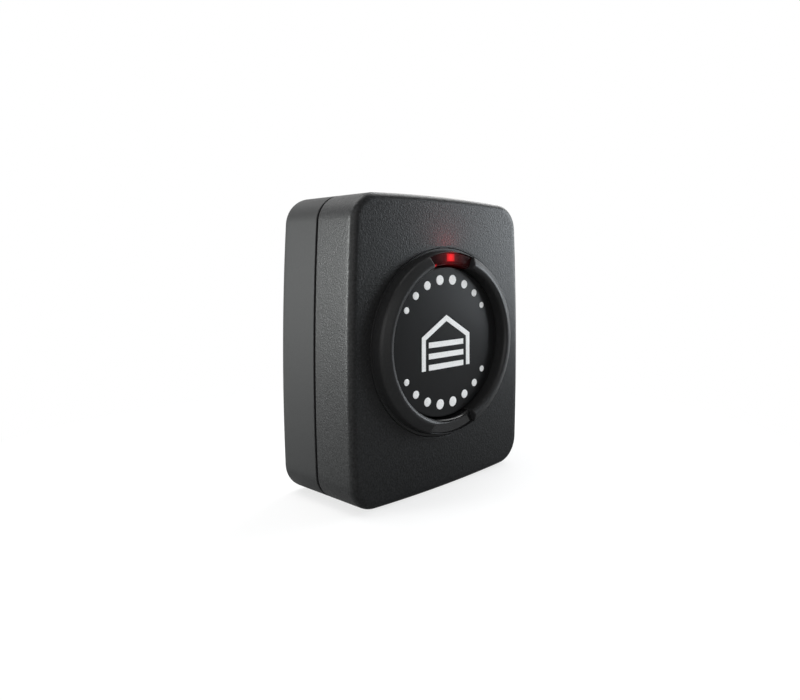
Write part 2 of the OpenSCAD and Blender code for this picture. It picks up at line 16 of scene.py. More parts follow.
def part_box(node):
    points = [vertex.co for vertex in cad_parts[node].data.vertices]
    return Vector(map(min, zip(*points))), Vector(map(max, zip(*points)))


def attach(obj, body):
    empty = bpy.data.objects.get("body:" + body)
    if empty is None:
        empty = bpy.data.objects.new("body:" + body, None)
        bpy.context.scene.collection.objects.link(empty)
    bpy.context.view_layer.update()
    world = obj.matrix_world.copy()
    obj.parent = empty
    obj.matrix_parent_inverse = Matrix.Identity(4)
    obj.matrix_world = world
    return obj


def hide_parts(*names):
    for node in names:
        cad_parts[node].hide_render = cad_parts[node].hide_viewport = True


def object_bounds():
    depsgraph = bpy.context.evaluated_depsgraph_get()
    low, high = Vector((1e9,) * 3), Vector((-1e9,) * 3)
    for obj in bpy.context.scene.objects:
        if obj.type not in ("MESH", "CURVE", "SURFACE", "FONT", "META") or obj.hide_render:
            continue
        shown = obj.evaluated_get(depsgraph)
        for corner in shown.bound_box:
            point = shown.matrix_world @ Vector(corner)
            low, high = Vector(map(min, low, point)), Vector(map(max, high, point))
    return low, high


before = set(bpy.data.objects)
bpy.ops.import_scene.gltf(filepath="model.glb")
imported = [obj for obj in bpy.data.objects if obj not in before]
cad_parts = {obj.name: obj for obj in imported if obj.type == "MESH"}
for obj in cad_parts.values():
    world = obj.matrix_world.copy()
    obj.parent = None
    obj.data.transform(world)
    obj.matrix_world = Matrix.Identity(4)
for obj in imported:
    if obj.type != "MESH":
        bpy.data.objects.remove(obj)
CAD_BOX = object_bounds()

MM = 0.001
Array = np.ndarray
Colour = tuple[float, float, float]
Place = tuple[float, float, float]
Socket = bpy.types.NodeSocket
log = logging.getLogger("door_sensor")


class Body(str, Enum):
    """The moving bodies that new pieces ride on."""

    REAR = "rear"
    FRONT = "front"
    BUTTON = "button"


class LampShape(str, Enum):
    """Outlines of a lamp."""

    SQUARE = "SQUARE"
    DISC = "DISK"


def unit(vectors: Array) -> Array:
    """Scales each vector in the last axis to length one."""
    return vectors / np.linalg.norm(vectors, axis=-1, keepdims=True)


def upright(points: Array) -> Array:
    """Turns plan points, (right, up, forward) in mm, into the frame's (right, -forward, up) in m."""
    return np.stack([points[..., 0], -points[..., 2], points[..., 1]], axis=-1) * MM


def full_circle(steps: int) -> Array:
    """Evenly spaced angles once round, from 0."""
    return np.linspace(0, 2 * np.pi, steps, endpoint=False)


def rounded_path(corners: ArrayLike, radii: ArrayLike, steps: int, closed: bool = False) -> Array:
    """Rounds the corners of a flat path.

    Each corner becomes the arc that touches both of its legs. The arc's centre lies on the bisector, at
    radius / sin(half angle), and its points blend the two contact directions along the circle. One more
    point before and after each arc keeps the flats flat under smooth shading.

    Args:
        corners: corner points, one row each.
        radii: one radius for each rounded corner, without the two ends of an open path.
        steps: number of segments in each arc.
        closed: whether the last corner joins the first.

    Returns:
        The points of the rounded path, one row each.
    """
    hold_share = 0.4
    corners = np.asarray(corners, float)
    radii = np.asarray(radii, float)[:, None]
    before, middle, after = np.roll(corners, 1, axis=0), corners, np.roll(corners, -1, axis=0)
    if not closed:
        before, middle, after = before[1:-1], middle[1:-1], after[1:-1]
    back, ahead = unit(before - middle), unit(after - middle)
    half = np.arccos(np.clip((back * ahead).sum(axis=1, keepdims=True), -1, 1)) / 2
    reach = radii / np.tan(half)
    centre = (middle + unit(back + ahead) * radii / np.sin(half))[:, None]
    start, end = (middle + back * reach)[:, None], (middle + ahead * reach)[:, None]
    turn = (np.pi - 2 * half)[:, None]
    share = np.linspace(0, 1, steps + 1)[None, :, None]
    blend = (start - centre) * np.sin((1 - share) * turn) + (end - centre) * np.sin(share * turn)
    arc = centre + blend / np.sin(turn)
    hold = hold_share * radii[:, None]
    path = np.concatenate([start + back[:, None] * hold, arc, end + ahead[:, None] * hold], axis=1)
    path = path.reshape(-1, 2)
    return path if closed else np.vstack([corners[:1], path, corners[-1:]])


def polar_rings(angles: Array, radius: Array, depth: Array) -> Array:
    """Points of rings round the middle axis: (r cos a, r sin a, depth).

    Args:
        angles: directions of the columns, in radians.
        radius: radius of each ring, as rows x 1 or rows x columns.
        depth: depth of each ring, as rows x 1 or rows x columns.

    Returns:
        Plan points as rows x columns x 3.
    """
    radius, depth, angles = np.broadcast_arrays(radius, depth, angles)
    return np.stack([radius * np.cos(angles), radius * np.sin(angles), depth], axis=-1)


def swept(path: Array, angles: Array) -> Array:
    """Rings of a section of (radius, depth) carried round the middle axis."""
    return polar_rings(angles, path[:, :1], path[:, 1:])


def placed(name: str, data: bpy.types.ID) -> bpy.types.Object:
    """Adds an object to the scene, at the origin.

    Args:
        name: name of the object.
        data: its mesh, lamp or camera.

    Returns:
        The new object.
    """
    new = bpy.data.objects.new(name, data)
    bpy.context.scene.collection.objects.link(new)
    return new


@dataclass
class Surface:
    """Points and faces of one piece, gathered grid by grid."""

    points: list[Array] = field(default_factory=list)
    faces: list[list[int]] = field(default_factory=list)
    count: int = 0

    def add(self, points: Array) -> Array:
        """Adds plan points.

        Args:
            points: any shape x 3 plan points.

        Returns:
            The numbers of the points, in that shape.
        """
        flat = points.reshape(-1, 3)
        self.points.append(flat)
        self.count += len(flat)
        return np.arange(self.count - len(flat), self.count).reshape(points.shape[:-1])

    def grid(self, points: Array, wrap_rows: bool = False, wrap_columns: bool = True) -> Array:
        """Adds a grid of four-sided faces. A face looks along (next row) x (next column).

        Args:
            points: rows x columns x 3 plan points.
            wrap_rows: whether the last row joins the first.
            wrap_columns: whether the last column joins the first.

        Returns:
            The numbers of the points, as rows x columns.
        """
        number = self.add(points)
        here = np.vstack([number, number[:1]]) if wrap_rows else number
        here = np.hstack([here, here[:, :1]]) if wrap_columns else here
        quads = np.stack([here[:-1, :-1], here[1:, :-1], here[1:, 1:], here[:-1, 1:]], axis=-1)
        self.faces += quads.reshape(-1, 4).tolist()
        return number

    def fan(self, ring: Array, pole: ArrayLike, leads: bool) -> None:
        """Closes a ring with triangles to a pole.

        Args:
            ring: numbers of the ring's points.
            pole: plan point in the middle.
            leads: whether the pole comes before the ring along the path, not after it.
        """
        middle = np.full(len(ring), self.add(np.asarray(pole, float)[None])[0])
        following = np.roll(ring, -1)
        order = [middle, ring, following] if leads else [ring, middle, following]
        self.faces += np.stack(order, axis=-1).tolist()

    def capped(self, rings: Array, front: ArrayLike, rear: ArrayLike) -> None:
        """Adds a grid that a pole closes at both ends.

        Args:
            rings: rows x columns x 3 plan points, from the front pole to the rear pole.
            front: plan point before the first ring.
            rear: plan point after the last ring.
        """
        number = self.grid(rings)
        self.fan(number[0], front, leads=True)
        self.fan(number[-1], rear, leads=False)

    def turned(self, path: Array, angles: Array, centre: tuple[float, float] = (0, 0)) -> None:
        """Adds a closed lathe form.

        Args:
            path: section of (radius, depth), from its front pole to its rear pole.
            angles: directions of the columns.
            centre: place of the axis.
        """
        front, rear = path[0, 1], path[-1, 1]
        self.capped(swept(path, angles) + np.array([*centre, 0]), [*centre, front], [*centre, rear])

    def build(self, name: str, merge: float = 0.0, sharp: float = 35.0) -> bpy.types.Object:
        """Makes the object, at the origin, with its place in its mesh.

        Args:
            name: name of the piece.
            merge: distance in mm under which points are joined, or 0 to join none.
            sharp: angle in degrees above which an edge is shaded sharp.

        Returns:
            The new object.
        """
        mesh = bpy.data.meshes.new(name)
        mesh.from_pydata(upright(np.vstack(self.points)).tolist(), [], self.faces)
        if merge:
            work = bmesh.new()
            work.from_mesh(mesh)
            bmesh.ops.remove_doubles(work, verts=work.verts, dist=merge * MM)
            work.to_mesh(mesh)
            work.free()
        mesh.polygons.foreach_set("use_smooth", np.ones(len(mesh.polygons), bool))
        mesh.set_sharp_from_angle(angle=math.radians(sharp))
        mesh.update()
        return placed(name, mesh)


class Graph:
    """Node tree of a material or a world, with short ways to add and join nodes."""

    def __init__(self, owner: bpy.types.Material | bpy.types.World) -> None:
        """Clears the owner's tree.

        Args:
            owner: a material, whose place is a point on its object, or a world, whose place is a direction.
        """
        owner.use_nodes = True
        self.owner = owner
        self.tree = owner.node_tree
        self.tree.nodes.clear()
        spaces = self.add("ShaderNodeTexCoord").outputs
        self.place = spaces["Generated" if isinstance(owner, bpy.types.World) else "Object"]

    @classmethod
    def named(cls, name: str) -> "Graph":
        """Starts a new material."""
        return cls(bpy.data.materials.new(name))

    def add(self, kind: str, inputs: dict | None = None, **settings: str) -> bpy.types.Node:
        """Adds a node.

        Args:
            kind: type name of the node.
            inputs: socket name or number to a value, or to the socket that is linked to it.
            settings: properties of the node.

        Returns:
            The new node.
        """
        node = self.tree.nodes.new(kind)
        for key, value in settings.items():
            setattr(node, key, value)
        for key, value in (inputs or {}).items():
            if isinstance(value, Socket):
                self.tree.links.new(value, node.inputs[key])
            else:
                node.inputs[key].default_value = value
        return node

    def math(self, operation: str, *values: float | Socket) -> Socket:
        """Result of one arithmetic step on numbers or sockets."""
        return self.add("ShaderNodeMath", dict(enumerate(values)), operation=operation).outputs[0]

    def blend(self, first: Socket, second: Socket, share: float | Socket) -> Socket:
        """Sum of two values, with this share of the second and the rest of the first."""
        rest = 1 - share if isinstance(share, float) else self.math("SUBTRACT", 1.0, share)
        return self.math("ADD", self.math("MULTIPLY", first, rest), self.math("MULTIPLY", second, share))

    def noise(self, size_mm: float, detail: float = 2.0, stretch: Place = (1, 1, 1)) -> Socket:
        """Noise over the place.

        Args:
            size_mm: about how wide its lumps are.
            detail: how many finer layers it has.
            stretch: how far the lumps are drawn out along each axis.

        Returns:
            A value of 0..1, mostly within 0.3..0.7.
        """
        scale = tuple(1 / (size_mm * MM * s) for s in stretch)
        mapped = self.add("ShaderNodeMapping", {"Vector": self.place, "Scale": scale}).outputs[0]
        return self.add("ShaderNodeTexNoise", {"Vector": mapped, "Scale": 1.0, "Detail": detail}).outputs[0]

    def spread(self, value: Socket, low: float, high: float, start: float = 0.3, end: float = 0.7) -> Socket:
        """Maps start..end of a value to low..high, held at both ends."""
        ends = {"From Min": start, "From Max": end, "To Min": low, "To Max": high}
        return self.add("ShaderNodeMapRange", {"Value": value, **ends}).outputs[0]

    def tones(self, value: Socket, stops: dict[float, Colour]) -> Socket:
        """Colour ramp.

        Args:
            value: what runs along the ramp.
            stops: two or more colours by their place on the ramp.

        Returns:
            The colour.
        """
        ramp = self.add("ShaderNodeValToRGB", {"Fac": value})
        elements = ramp.color_ramp.elements
        places = sorted(stops)
        elements[0].position, elements[1].position = places[0], places[-1]
        for place in places[1:-1]:
            elements.new(place)
        for element, place in zip(elements, places):
            element.color = (*stops[place], 1)
        return ramp.outputs[0]

    def bump(self, height: Socket, relief_mm: float) -> Socket:
        """Surface relief from a height of 0..1, relief_mm deep."""
        inputs = {"Height": height, "Distance": relief_mm * MM, "Strength": 1.0}
        return self.add("ShaderNodeBump", inputs).outputs[0]

    def distance(self, point_mm: Place) -> Socket:
        """Distance of the place from a point, in metres."""
        ends = {0: self.place, 1: tuple(c * MM for c in point_mm)}
        return self.add("ShaderNodeVectorMath", ends, operation="DISTANCE").outputs["Value"]

    def behind(self, start: float, end: float) -> Socket:
        """0 in front of the object and 1 behind it, rising as the place's y goes from start to end."""
        along = self.add("ShaderNodeSeparateXYZ", {0: self.place}).outputs["Y"]
        return self.spread(along, 0.0, 1.0, start, end)

    def seen(self, by_camera: float | Socket, mirrored: Socket) -> Socket:
        """Share of white for each kind of ray.

        Args:
            by_camera: share for camera rays.
            mirrored: share for glossy and transmission rays.

        Returns:
            The share, which is 0 for all other rays.
        """
        path = self.add("ShaderNodeLightPath").outputs
        bounced = self.math("MAXIMUM", path["Is Glossy Ray"], path["Is Transmission Ray"])
        straight = self.math("MULTIPLY", path["Is Camera Ray"], by_camera)
        return self.math("MAXIMUM", straight, self.math("MULTIPLY", bounced, mirrored))

    def close(self, shader: bpy.types.Node, kind: str = "ShaderNodeOutputMaterial") -> bpy.types.Material:
        """Ends the tree in an output node and returns its owner."""
        self.add(kind, {"Surface": shader.outputs[0]})
        return self.owner

    def finish(self, inputs: dict) -> bpy.types.Material:
        """Ends the tree in the main shader with these inputs and returns the material."""
        return self.close(self.add("ShaderNodeBsdfPrincipled", inputs))


def shade(colour: Colour, factor: float) -> Colour:
    """A colour made lighter or darker by a factor."""
    return tuple(min(1.0, c * factor) for c in colour)


@dataclass(frozen=True)
class Finish:
    """A finish, with the name of its material and its main colour."""

    name: str
    colour: Colour

    def mottled(self, graph: Graph, value: Socket, dark: float, light: float,
                start: float = 0.3, end: float = 0.7) -> Socket:
        """The colour times dark at the start of a value, blending to the colour times light at its end."""
        return graph.tones(value, {start: shade(self.colour, dark), end: shade(self.colour, light)})

    def material(self) -> bpy.types.Material:
        """Builds the material. Each kind of finish has its own way."""
        raise NotImplementedError


@dataclass(frozen=True)
class MouldedPlastic(Finish):
    """Moulded plastic with an eroded grain in its skin.

    Two sizes of noise give the grain its relief, its colour speckle and its change of gloss.
    """

    roughness: float
    gloss: float
    grain_mm: float
    relief_mm: float
    speckle: float
    coarse_size: float = 1.7
    coarse_share: float = 0.2
    gloss_change: float = 0.12

    def material(self) -> bpy.types.Material:
        """Builds the node tree.

        Returns:
            The material.
        """
        graph = Graph.named(self.name)
        fine = graph.noise(self.grain_mm, 3)
        coarse = graph.noise(self.grain_mm * self.coarse_size, 2)
        grain = graph.blend(fine, coarse, self.coarse_share)
        change = self.gloss_change * self.speckle
        return graph.finish({
            "Base Color": self.mottled(graph, grain, 1 - self.speckle, 1 + self.speckle, 0.36, 0.64),
            "Roughness": graph.spread(coarse, self.roughness - change, self.roughness + change),
            "Specular IOR Level": self.gloss,
            "Normal": graph.bump(grain, self.relief_mm),
        })


@dataclass(frozen=True)
class PrintedInk(Finish):
    """Screen printed ink: nearly even, with small thin spots."""

    spot_mm: float = 0.25

    def material(self) -> bpy.types.Material:
        """Builds the node tree.

        Returns:
            The material.
        """
        graph = Graph.named(self.name)
        cover = graph.noise(self.spot_mm, 4)
        return graph.finish({
            "Base Color": self.mottled(graph, cover, 0.82, 1.0, end=0.5),
            "Roughness": graph.spread(cover, 0.42, 0.55),
            "Specular IOR Level": 0.3,
            "Normal": graph.bump(cover, 0.004),
        })


@dataclass(frozen=True)
class TintedWindow(Finish):
    """Polished dark plastic with a painted red glow from the pipe, fading with distance, and a painted glint.
    """

    gloss: float
    painted_glow_at: Place | None = None
    painted_glow_reach_mm: float = 1.6
    glow_colour: Colour = (0.8, 0.01, 0.015)
    painted_glint_at: Place | None = None
    painted_glint_reach_mm: float = 0.6
    haze_mm: float = 1.5
    ripple_mm: float = 0.8

    def material(self) -> bpy.types.Material:
        """Builds the node tree: a painted glow = exp(-distance / reach), and a painted glint that falls evenly
        to its rim.

        Returns:
            The material.
        """
        graph = Graph.named(self.name)
        haze = graph.noise(self.haze_mm, 2)
        inputs = {
            "Base Color": self.mottled(graph, haze, 0.8, 1.2),
            "Roughness": graph.spread(haze, 0.1, 0.18),
            "Specular IOR Level": self.gloss,
            "Normal": graph.bump(graph.noise(self.ripple_mm, 2), 0.002),
        }
        # Painted light: emission paints the pipe's red light scattered in the window, and a red reflection
        # near its corner.
        if self.painted_glow_at:
            away = graph.distance(self.painted_glow_at)
            fall = graph.math("EXPONENT", graph.math("MULTIPLY", away, -1 / (self.painted_glow_reach_mm * MM)))
            painted_glow = graph.math("MULTIPLY", fall, graph.spread(haze, 0.16, 0.28))
            painted_glint = graph.spread(graph.distance(self.painted_glint_at), 0.9, 0.0, 0.0, self.painted_glint_reach_mm * MM)
            inputs["Emission Color"] = (*self.glow_colour, 1)
            inputs["Emission Strength"] = graph.math("ADD", painted_glow, painted_glint)
        return graph.finish(inputs)


@dataclass(frozen=True)
class LitRed(Finish):
    """Clear red light guide, brightest in the middle of its tip."""

    centre: Place
    half_mm: float
    glow_colour: Colour = (0.9, 0.012, 0.016)
    cloud_mm: float = 0.4

    def material(self) -> bpy.types.Material:
        """Builds the node tree: strength falls from the middle to the rim.

        Returns:
            The material.
        """
        graph = Graph.named(self.name)
        half = self.half_mm * MM
        return graph.finish({
            "Base Color": self.mottled(graph, graph.noise(self.cloud_mm, 2), 0.9, 1.0),
            "Roughness": 0.4,
            "Specular IOR Level": 0.03,
            "Emission Color": (*self.glow_colour, 1),
            "Emission Strength": graph.spread(graph.distance(self.centre), 1.0, 0.4, 0.4 * half, 1.4 * half),
        })


@dataclass(frozen=True)
class SolderMask(Finish):
    """Green mask over copper tracks, with round tinned pads between them.

    The tracks are bands of a saw-tooth along x or z, and slow noise chooses which of the two shows at each
    place. The pads are the middles of scattered cells.
    """

    tin: Colour = (0.62, 0.62, 0.6)
    pitch_mm: float = 1.1
    track_share: float = 0.35
    patch_mm: float = 9.0
    cell_mm: float = 3.2
    pad_mm: float = 0.35
    cloud_mm: float = 1.5
    cloud_high: float = 0.12

    def band(self, graph: Graph, along: Socket) -> Socket:
        """1 on tracks that lie side by side along one coordinate, else 0."""
        saw = graph.math("FRACT", graph.math("DIVIDE", along, self.pitch_mm * MM))
        return graph.math("LESS_THAN", saw, self.track_share)

    def material(self) -> bpy.types.Material:
        """Builds the node tree: a level of 0 is bare mask, 0.5 a track and 1 a pad.

        Returns:
            The material.
        """
        graph = Graph.named(self.name)
        x, _, z = graph.add("ShaderNodeSeparateXYZ", {0: graph.place}).outputs
        upright_ones = graph.math("GREATER_THAN", graph.noise(self.patch_mm, 0), 0.5)
        track = graph.blend(self.band(graph, z), self.band(graph, x), upright_ones)
        flat = graph.add("ShaderNodeCombineXYZ", {"X": x, "Z": z}).outputs[0]
        fineness = 1 / (self.cell_mm * MM)
        cells = graph.add("ShaderNodeTexVoronoi", {"Vector": flat, "Scale": fineness}).outputs[0]
        pad = graph.math("LESS_THAN", cells, self.pad_mm / self.cell_mm)
        level = graph.math("MAXIMUM", graph.math("MULTIPLY", track, 0.5), pad)
        cloud = graph.spread(graph.noise(self.cloud_mm, 3), 0.0, self.cloud_high)
        return graph.finish({
            "Base Color": graph.tones(graph.math("ADD", level, cloud), {
                0.0: self.colour,
                0.5: shade(self.colour, 2.2),
                0.5 + self.cloud_high: shade(self.colour, 2.6),
                1.0: self.tin,
            }),
            "Metallic": pad,
            "Roughness": graph.spread(cloud, 0.28, 0.4, 0.0, self.cloud_high),
            "Specular IOR Level": 0.5,
            "Normal": graph.bump(level, 0.03),
        })


@dataclass(frozen=True)
class PlatedMetal(Finish):
    """Bright metal with drawn lines, stretched along one axis."""

    roughness: float
    stretch: Place = (20, 1, 1)
    line_mm: float = 0.1
    cloud_mm: float = 2.0

    def material(self) -> bpy.types.Material:
        """Builds the node tree.

        Returns:
            The material.
        """
        graph = Graph.named(self.name)
        lines = graph.noise(self.line_mm, 3, self.stretch)
        return graph.finish({
            "Base Color": self.mottled(graph, graph.noise(self.cloud_mm, 3), 0.85, 1.08),
            "Metallic": 1.0,
            "Roughness": graph.spread(lines, self.roughness - 0.05, self.roughness + 0.06),
            "Normal": graph.bump(lines, 0.0008),
        })


def put(piece: bpy.types.Object, finish: Finish, body: Body, slot: str, *nodes: str) -> None:
    """Dresses a new piece, sets it on its body and lets it stand for its nodes.

    Args:
        piece: the object.
        finish: its finish.
        body: body that the piece moves with.
        slot: the record's material slot, not used.
        nodes: nodes that the piece stands for.
    """
    piece.data.materials.append(finish.material())
    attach(piece, body.value)
    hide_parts(*nodes)
    log.info("%s: %d faces on body %s", piece.name, len(piece.data.polygons), body.value)


def dress(node: str, finish: Finish) -> None:
    """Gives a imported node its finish.

    Args:
        node: name of the node.
        finish: its finish.
    """
    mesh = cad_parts[node].data
    mesh.materials.clear()
    mesh.materials.append(finish.material())
    mesh.polygons.foreach_set("material_index", np.zeros(len(mesh.polygons), np.int32))
    log.info("%s: dressed in %s", node, finish.name)


def seen_from_middle(x: float, y: float, r: float | Array, turn: float | Array) -> Array:
    """Directions, seen from the middle, of the points at some turns of a circle about (x, y)."""
    return np.arctan2(y + r * np.sin(turn), x + r * np.cos(turn))


class OutlineArcs(NamedTuple):
    """Arcs of one quarter of the case outline.

    The side's arc has its centre at (-side_c, 0), the end's at (0, -end_c) and the corner's at
    (corner_x, corner_y).
    """

    side_r: float
    side_c: float
    end_r: float
    end_c: float
    corner_x: float
    corner_y: float

    @property
    def side_a(self) -> float:
        """Angle, about the side's centre, at which the corner touches the side."""
        return math.atan2(self.corner_y, self.corner_x + self.side_c)

    @property
    def end_a(self) -> float:
        """Angle, about the end's centre, at which the corner touches the end."""
        return math.atan2(self.corner_y + self.end_c, self.corner_x)


@dataclass(frozen=True)
class CasePlan:
    """Outline of the case seen from the front: four bowed sides that run into four round corners."""

    width: float
    height: float
    corner_r: float = 5.4
    side_bow: float = 0.58
    end_bow: float = 0.42

    @classmethod
    def from_frame(cls) -> "CasePlan":
        """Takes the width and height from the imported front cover."""
        low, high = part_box("front_cover")
        return cls(width=(high.x - low.x) / MM, height=(high.z - low.z) / MM)

    @staticmethod
    def bow_radius(length: float, bow: float) -> float:
        """Radius of the arc that bows outwards by bow over a chord of twice length."""
        return (length**2 + bow**2) / (2 * bow)

    @property
    def arcs(self) -> OutlineArcs:
        """The arcs. The corner's centre is the point that lies one corner radius inside both bowed arcs.

        Returns:
            The radii and centres.
        """
        side_r = self.bow_radius(self.height / 2 - self.corner_r, self.side_bow)
        end_r = self.bow_radius(self.width / 2 - self.corner_r, self.end_bow)
        side_c, end_c = side_r - self.width / 2, end_r - self.height / 2
        span = math.hypot(side_c, end_c)
        along = ((side_r - self.corner_r) ** 2 - (end_r - self.corner_r) ** 2 + span**2) / (2 * span)
        across = math.sqrt((side_r - self.corner_r) ** 2 - along**2)
        corner_x = (along * side_c + across * end_c) / span - side_c
        corner_y = (across * side_c - along * end_c) / span
        return OutlineArcs(side_r, side_c, end_r, end_c, corner_x, corner_y)

    @staticmethod
    def meet(right: Array, up: Array, cx: float, cy: float, r: Array) -> Array:
        """Distance along each direction d to a circle about c: d.c + sqrt((d.c)^2 - c.c + r^2)."""
        along = right * cx + up * cy
        return along + np.sqrt(np.maximum(along**2 - cx**2 - cy**2 + r**2, 0))

    def radius(self, angles: Array, inset: Array) -> Array:
        """Distance from the middle to the outline, moved inwards by inset, along each direction.

        The side, corner or end arc is chosen by the directions of the points where they touch.

        Args:
            angles: directions in radians, one for each column.
            inset: inward offsets in mm, rows x 1.

        Returns:
            Radii in mm, rows x columns.
        """
        arcs = self.arcs
        side_r, end_r = arcs.side_r - inset, arcs.end_r - inset
        from_side = seen_from_middle(-arcs.side_c, 0, side_r, arcs.side_a)
        from_end = seen_from_middle(0, -arcs.end_c, end_r, arcs.end_a)
        right, up = np.abs(np.cos(angles)), np.abs(np.sin(angles))
        direction = np.arctan2(up, right)
        corner = self.meet(right, up, arcs.corner_x, arcs.corner_y, self.corner_r - inset)
        ends = np.where(direction > from_end, self.meet(right, up, 0, -arcs.end_c, end_r), corner)
        return np.where(direction < from_side, self.meet(right, up, -arcs.side_c, 0, side_r), ends)

    def angles(self, on_side: int = 26, on_corner: int = 18, on_end: int = 22) -> Array:
        """Directions of evenly spaced points on each arc of the outline, once round.

        Args:
            on_side: steps along half a long side.
            on_corner: steps round one corner.
            on_end: steps along half of the top.

        Returns:
            Rising angles in radians, from 0 to just under a full turn.
        """
        arcs = self.arcs
        side = np.linspace(0, arcs.side_a, on_side + 1)
        corner = np.linspace(arcs.side_a, arcs.end_a, on_corner + 1)[1:-1]
        end = np.linspace(arcs.end_a, math.pi / 2, on_end + 1)
        quarter = np.concatenate([
            seen_from_middle(-arcs.side_c, 0, arcs.side_r, side),
            seen_from_middle(arcs.corner_x, arcs.corner_y, self.corner_r, corner),
            seen_from_middle(0, -arcs.end_c, arcs.end_r, end),
        ])
        half = np.concatenate([quarter, math.pi - quarter[-2::-1]])
        return np.concatenate([half, math.pi + half[1:-1]])


@dataclass
class CaseShells:
    """Front and rear covers: shells with the case outline, rounded edges and a stepped joint between them.

    The margins are how far a section's flat ends reach in from the outline. The face rows are the places of
    rings between the ring's hole and the start of the front edge.
    """

    plan: CasePlan
    depth: float
    wall: float = 2.2
    face_t: float = 2.2
    back_t: float = 1.8
    front_edge_r: float = 1.3
    back_edge_r: float = 1.5
    rim_edge_r: float = 0.18
    tongue_edge_r: float = 0.2
    floor_edge_r: float = 0.6
    inner_edge_r: float = 0.5
    small_r: float = 0.08
    edge_steps: int = 8
    face_margin: float = 4.0
    back_margin: float = 8.0
    face_rows: tuple[float, ...] = (0.06, 0.3, 0.6, 0.9)
    rear_rim: float = 11.15
    front_rim: float = 11.65
    tongue_t: float = 1.0
    tongue_top: float = 14.85
    tongue_gap: float = 0.1
    ring_hole_r: float = 18.43
    hole_edge_r: float = 0.06
    boss_r: float = 2.2
    boss_edge_r: float = 0.15
    boss_sunk: float = 0.3
    boss_low: float = 13.5
    boss_at: tuple[float, float] = (15.8, 21.8)
    pilot_r: float = 0.85
    pilot_top: float = 18.4

    @classmethod
    def from_frame(cls, plan: CasePlan) -> "CaseShells":
        """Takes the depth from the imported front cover."""
        return cls(plan=plan, depth=-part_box("front_cover")[0].y / MM)

    def ring_rows(self, angles: Array, inset: float, share: Array) -> Array:
        """Radii between the ring's hole (share 0) and the outline moved inwards by inset (share 1)."""
        return (1 - share) * self.ring_hole_r + share * self.plan.radius(angles, inset)

    def front_surface(self) -> Surface:
        """Front cover: a section carried round the outline.

        The section runs up the hole, out across the face, over the edge, down the side, in across the rim,
        up the stepped inside and back across the inner face to the hole.

        Returns:
            The closed surface with four screw bosses.
        """
        angles = self.plan.angles()
        inner = self.depth - self.face_t
        rebate = self.wall - self.tongue_t - self.tongue_gap
        step = self.tongue_top + self.tongue_gap
        wall_path = rounded_path(
            [[self.face_margin, self.depth], [0, self.depth], [0, self.front_rim], [rebate, self.front_rim],
             [rebate, step], [self.wall, step], [self.wall, inner], [self.face_margin, inner]],
            [self.front_edge_r, self.rim_edge_r, self.small_r, self.small_r, self.small_r, self.inner_edge_r],
            self.edge_steps,
        )[1:-1]
        edge = self.hole_edge_r
        turn = np.linspace(0, np.pi / 2, 4)[:, None]
        hole_depth = np.vstack([[[inner]], [[inner + edge]], self.depth - edge + edge * np.sin(turn)])
        hole_r = np.vstack([[[0]], [[0]], edge * (1 - np.cos(turn))]) + self.ring_hole_r
        across = np.array(self.face_rows)[:, None]
        radius = np.vstack([
            hole_r + np.zeros_like(angles),
            self.ring_rows(angles, wall_path[0, 0], across),
            self.plan.radius(angles, wall_path[:, :1]),
            self.ring_rows(angles, wall_path[-1, 0], across[::-1]),
        ])
        flat = np.ones_like(across)
        depth = np.vstack([hole_depth, flat * self.depth, wall_path[:, 1:], flat * inner])
        surface = Surface()
        surface.grid(polar_rings(angles, radius, depth), wrap_rows=True)
        self.add_bosses(surface, inner)
        return surface

    def add_bosses(self, surface: Surface, inner: float) -> None:
        """Adds the four screw bosses: tubes from the inner face to the board, each with a blind hole.

        Args:
            surface: the front cover's surface.
            inner: depth of its inner face.
        """
        path = rounded_path(
            [[self.boss_r, inner + self.boss_sunk], [self.boss_r, self.boss_low],
             [self.pilot_r, self.boss_low], [self.pilot_r, self.pilot_top]],
            [self.boss_edge_r, self.boss_edge_r],
            steps=3,
        )
        for sx in (-1, 1):
            for sy in (-1, 1):
                surface.turned(path, full_circle(40), (sx * self.boss_at[0], sy * self.boss_at[1]))

    def rear_surface(self) -> Surface:
        """Rear cover: a section carried round the outline, from the floor's middle to the back's middle.

        The section runs out across the floor, up the inside, over the tongue, out across the rim, down the
        side, over the back edge and in across the flat back.

        Returns:
            The closed surface.
        """
        angles = self.plan.angles()
        ledge = self.wall - self.tongue_t
        path = rounded_path(
            [[self.back_margin, self.back_t], [self.wall, self.back_t], [self.wall, self.tongue_top],
             [ledge, self.tongue_top], [ledge, self.rear_rim], [0, self.rear_rim], [0, 0],
             [self.back_margin, 0]],
            [self.floor_edge_r, self.tongue_edge_r, self.tongue_edge_r, self.small_r, self.rim_edge_r,
             self.back_edge_r],
            self.edge_steps,
        )
        rings = polar_rings(angles, self.plan.radius(angles, path[:, :1]), path[:, 1:])
        surface = Surface()
        surface.capped(rings, [0, 0, self.back_t], [0, 0, 0])
        return surface

    def build(self) -> None:
        """Builds and dresses both covers."""
        grain = MouldedPlastic("front_shell_grain", (0.0115, 0.0118, 0.0121), roughness=0.39, gloss=0.2,
                               grain_mm=0.36, relief_mm=0.065, speckle=0.4)
        satin = MouldedPlastic("rear_shell_satin", (0.012, 0.0123, 0.0126), roughness=0.5, gloss=0.2,
                               grain_mm=0.25, relief_mm=0.016, speckle=0.2)
        put(self.front_surface().build("front_cover_shell"), grain, Body.FRONT, "front_shell", "front_cover")
        put(self.rear_surface().build("rear_cover_shell"), satin, Body.REAR, "rear_shell", "rear_cover")


